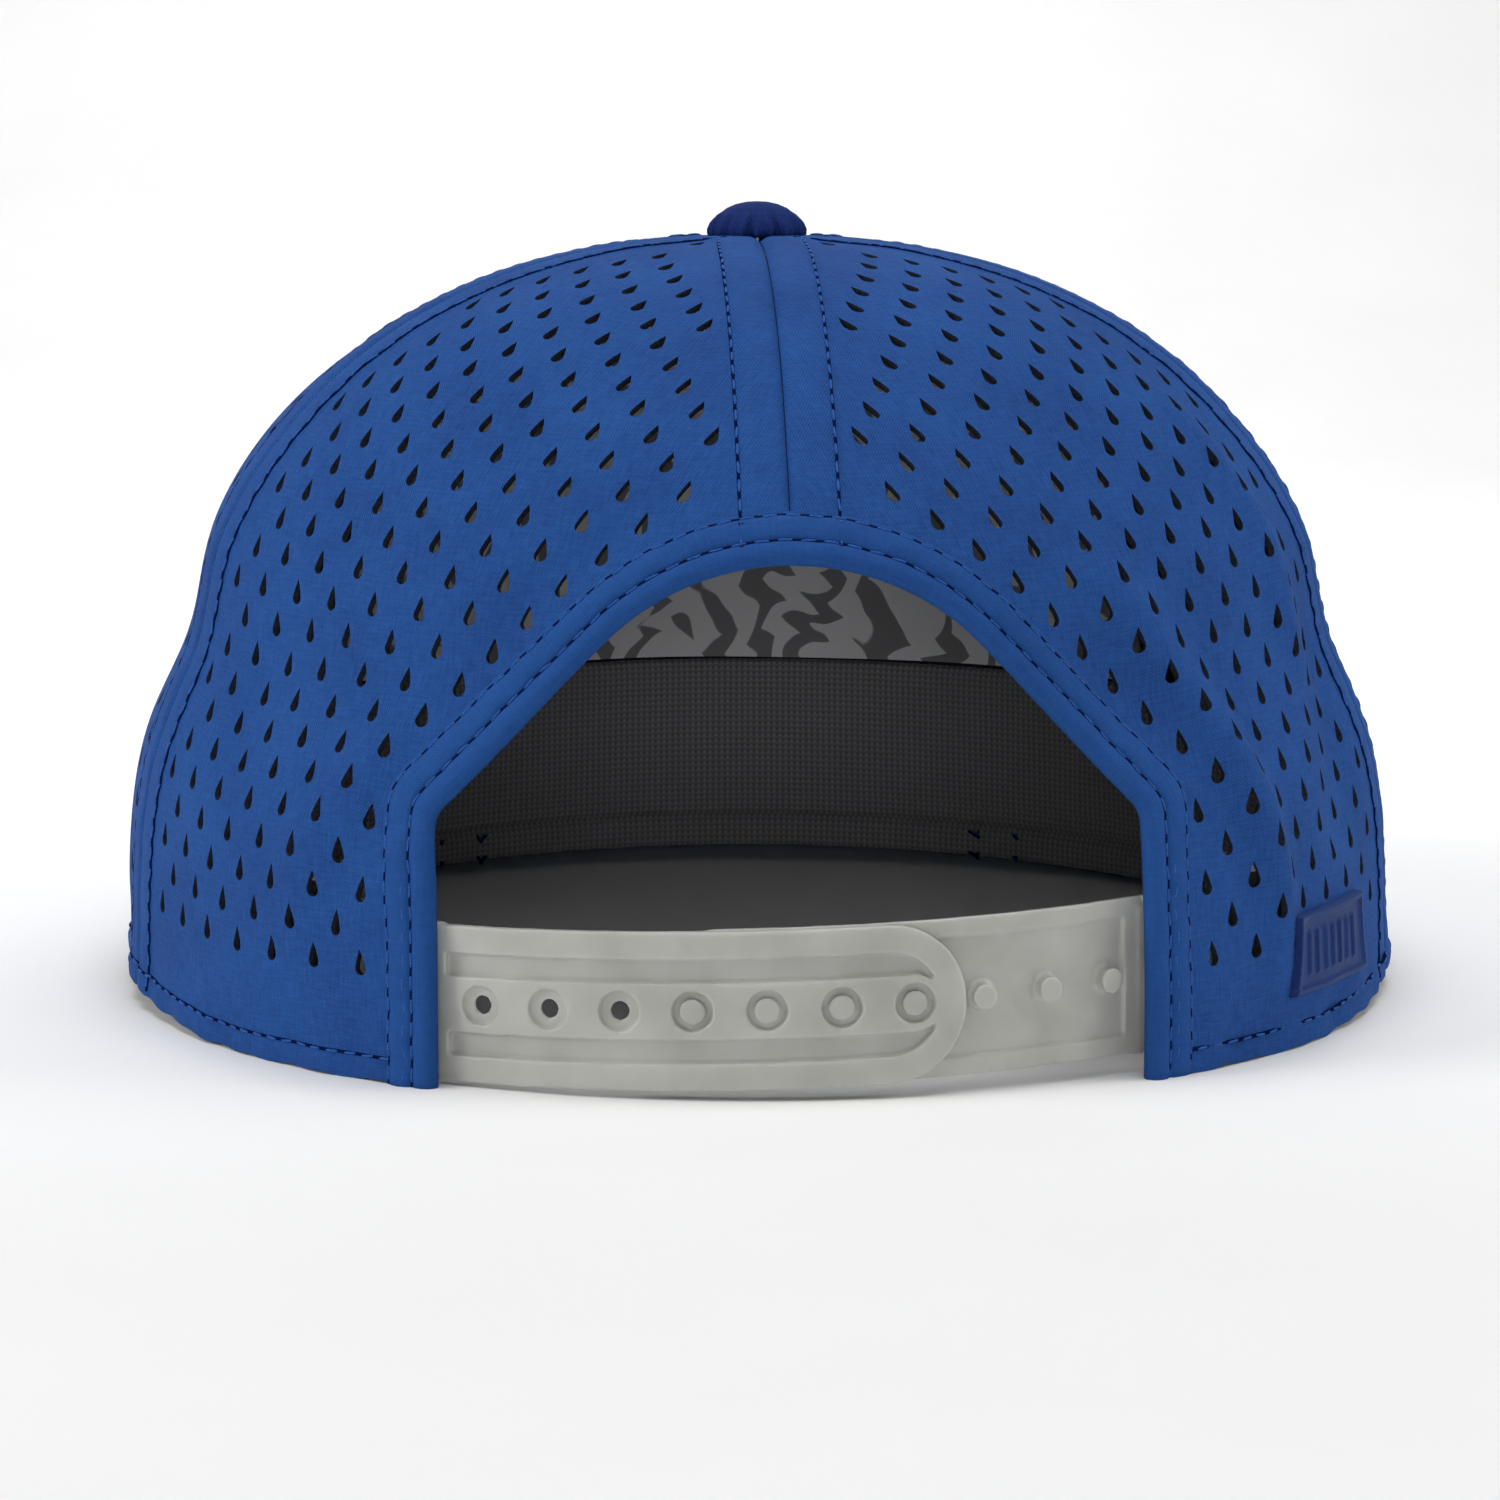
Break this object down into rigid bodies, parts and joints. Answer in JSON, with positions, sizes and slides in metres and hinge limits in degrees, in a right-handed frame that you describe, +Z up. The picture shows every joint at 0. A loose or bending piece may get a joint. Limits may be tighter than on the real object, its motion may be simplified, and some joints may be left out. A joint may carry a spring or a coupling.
{
  "type": "snapback cap",
  "caption": "Five-panel perforated cap with a curved stitched visor, a covered top button and a plastic snap closure across an arched window at the back.",
  "frame": {"origin": "centre of the head opening, in the plane that the rear rim rests on", "axes": "+Z up through the top button, visor towards -Y, adjuster window towards +Y, wearer's left at +X"},
  "size_m": [0.1834, 0.2588, 0.1126],
  "materials": {
    "crown_cloth": "royal blue woven polyester, laser perforated",
    "seam_tape": "dark woven tape",
    "buckram": "stiff open mesh",
    "lining": "charcoal jersey with a faint tonal zigzag",
    "foam": "soft foam",
    "sweatband": "black wicking knit",
    "visor_board": "stiff board",
    "visor_cloth": "royal blue woven polyester",
    "visor_under_cloth": "royal blue woven polyester",
    "clear_plastic": "milky translucent moulding",
    "button_cloth": "dark blue woven polyester",
    "button_core": "pressed",
    "button_washer": "pressed",
    "patch_rubber": "moulded, semi matt"
  },
  "bodies": {
    "crown": {"front_panel": "crown_cloth", "side_panel_left": "crown_cloth", "side_panel_right": "crown_cloth", "back_panel_left": "crown_cloth", "back_panel_right": "crown_cloth", "seam_tape_centre_back": "seam_tape", "seam_tape_back_left": "seam_tape", "seam_tape_back_right": "seam_tape", "seam_tape_front_left": "seam_tape", "seam_tape_front_right": "seam_tape", "arch_facing": "crown_cloth", "front_buckram": "buckram", "front_lining": "lining", "sweatband_foam": "foam", "sweatband_cover": "sweatband", "visor_board": "visor_board", "visor_top_cover": "visor_cloth", "visor_under_cover": "visor_under_cloth", "hole_strap_tab": "clear_plastic", "peg_strap_tab": "clear_plastic", "button_cover": "button_cloth", "button_core": "button_core", "button_washer": "button_washer", "side_patch": "patch_rubber"},
    "hole_strap": {"hole_strap": "clear_plastic"},
    "peg_strap": {"peg_strap": "clear_plastic"}
  },
  "joints": [
    {"name": "hole_strap_swing", "type": "hinge", "parent": "crown", "child": "hole_strap", "pos_m": [0.04558, 0.07883, 0.01063], "axis": [-0.0262, 0, -0.9997], "range_deg": [0, 50], "stiffness_Nm_per_rad": 0.02},
    {"name": "peg_strap_swing", "type": "hinge", "parent": "crown", "child": "peg_strap", "pos_m": [-0.04499, 0.07704, 0.013], "axis": [-0.0262, 0, -0.9997], "range_deg": [0, 35], "stiffness_Nm_per_rad": 0.02}
  ]
}
